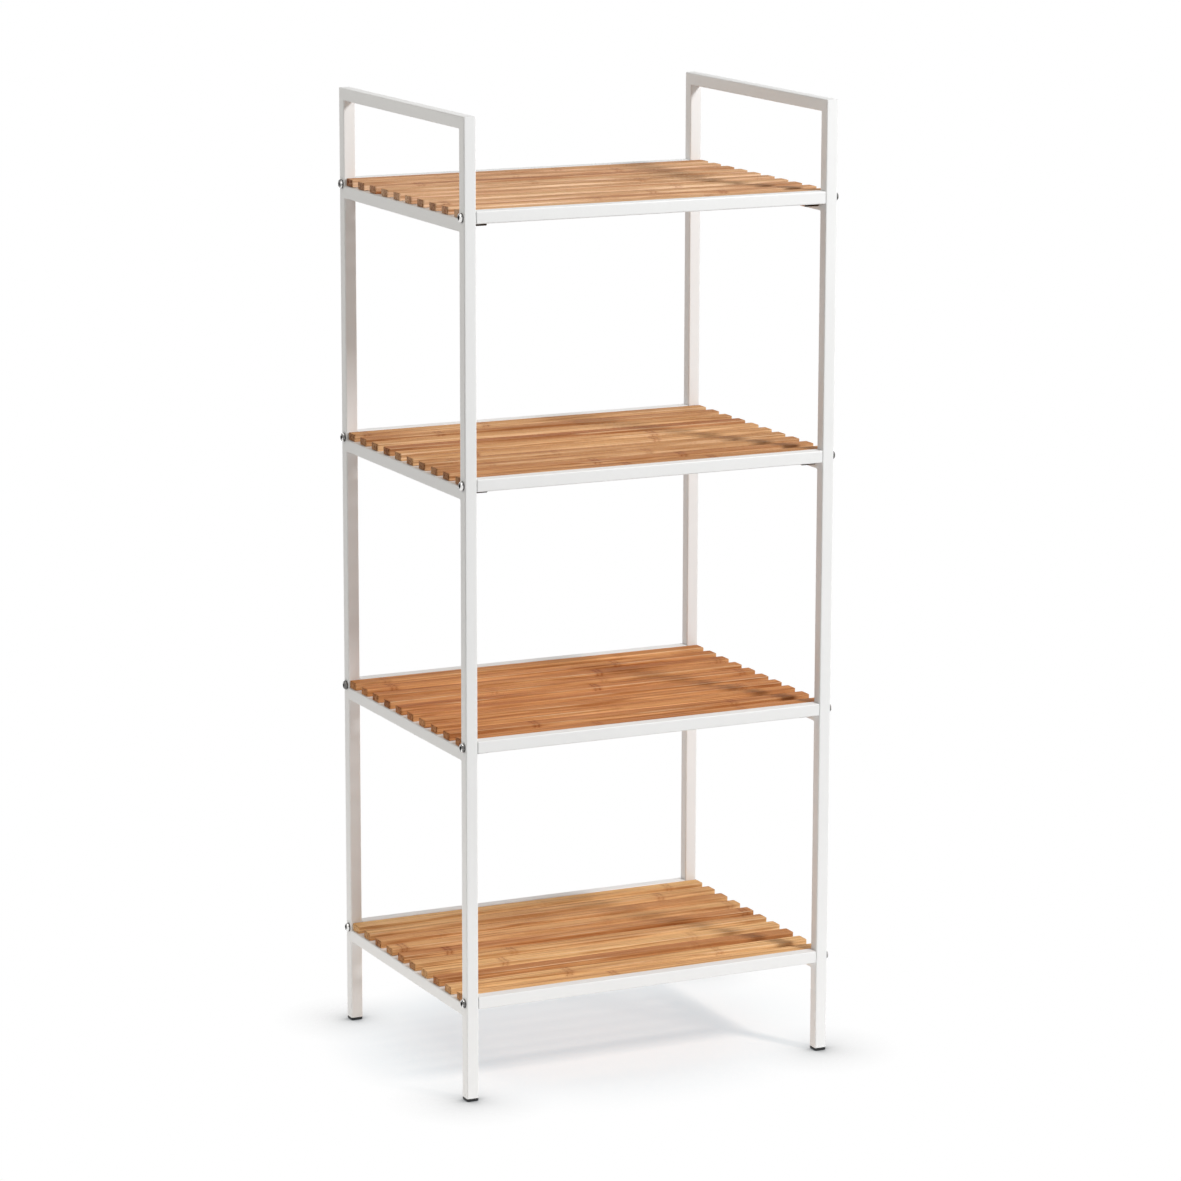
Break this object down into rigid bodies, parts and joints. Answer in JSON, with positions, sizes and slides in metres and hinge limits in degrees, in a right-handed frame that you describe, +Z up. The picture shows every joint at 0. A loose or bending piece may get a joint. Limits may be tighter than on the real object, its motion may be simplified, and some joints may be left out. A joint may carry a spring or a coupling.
{
  "type": "shelving unit",
  "caption": "Open shelving unit: white square-tube side frames with raised handle bars, screwed rails and lift-out slatted bamboo shelves.",
  "frame": {"origin": "on the floor, at the middle of the footprint", "axes": "+X from the left side frame to the right, +Y from the front to the back, +Z up"},
  "size_m": [0.4572, 0.347, 1.09],
  "materials": {
    "white_powder_coat": "satin white powder coat",
    "bamboo": "oiled bamboo, warm brown",
    "bright_steel": "bright plated",
    "black_plastic": "matt moulded"
  },
  "bodies": {
    "frame": {"upright_left_front": "white_powder_coat", "upright_left_back": "white_powder_coat", "upright_right_front": "white_powder_coat", "upright_right_back": "white_powder_coat", "handle_bar_left": "white_powder_coat", "handle_bar_right": "white_powder_coat", "rung_left_0": "white_powder_coat", "rung_left_1": "white_powder_coat", "rung_left_2": "white_powder_coat", "rung_left_3": "white_powder_coat", "rung_right_0": "white_powder_coat", "rung_right_1": "white_powder_coat", "rung_right_2": "white_powder_coat", "rung_right_3": "white_powder_coat", "rail_front_0": "white_powder_coat", "rail_front_1": "white_powder_coat", "rail_front_2": "white_powder_coat", "rail_front_3": "white_powder_coat", "rail_back_0": "white_powder_coat", "rail_back_1": "white_powder_coat", "rail_back_2": "white_powder_coat", "rail_back_3": "white_powder_coat", "screw_left_front_0": "bright_steel", "screw_left_front_1": "bright_steel", "screw_left_front_2": "bright_steel", "screw_left_front_3": "bright_steel", "screw_left_back_0": "bright_steel", "screw_left_back_1": "bright_steel", "screw_left_back_2": "bright_steel", "screw_left_back_3": "bright_steel", "screw_right_front_0": "bright_steel", "screw_right_front_1": "bright_steel", "screw_right_front_2": "bright_steel", "screw_right_front_3": "bright_steel", "screw_right_back_0": "bright_steel", "screw_right_back_1": "bright_steel", "screw_right_back_2": "bright_steel", "screw_right_back_3": "bright_steel", "foot_left_front": "black_plastic", "foot_left_back": "black_plastic", "foot_right_front": "black_plastic", "foot_right_back": "black_plastic"},
    "board_0": {"board_0": "bamboo"},
    "board_1": {"board_1": "bamboo"},
    "board_2": {"board_2": "bamboo"},
    "board_3": {"board_3": "bamboo"}
  },
  "joints": [
    {"name": "board_0_lift", "type": "slide", "parent": "frame", "child": "board_0", "axis": [0, 0, 1], "range_m": [0, 0.265]},
    {"name": "board_1_lift", "type": "slide", "parent": "frame", "child": "board_1", "axis": [0, 0, 1], "range_m": [0, 0.265]},
    {"name": "board_2_lift", "type": "slide", "parent": "frame", "child": "board_2", "axis": [0, 0, 1], "range_m": [0, 0.265]},
    {"name": "board_3_lift", "type": "slide", "parent": "frame", "child": "board_3", "axis": [0, 0, 1], "range_m": [0, 0.085]}
  ]
}
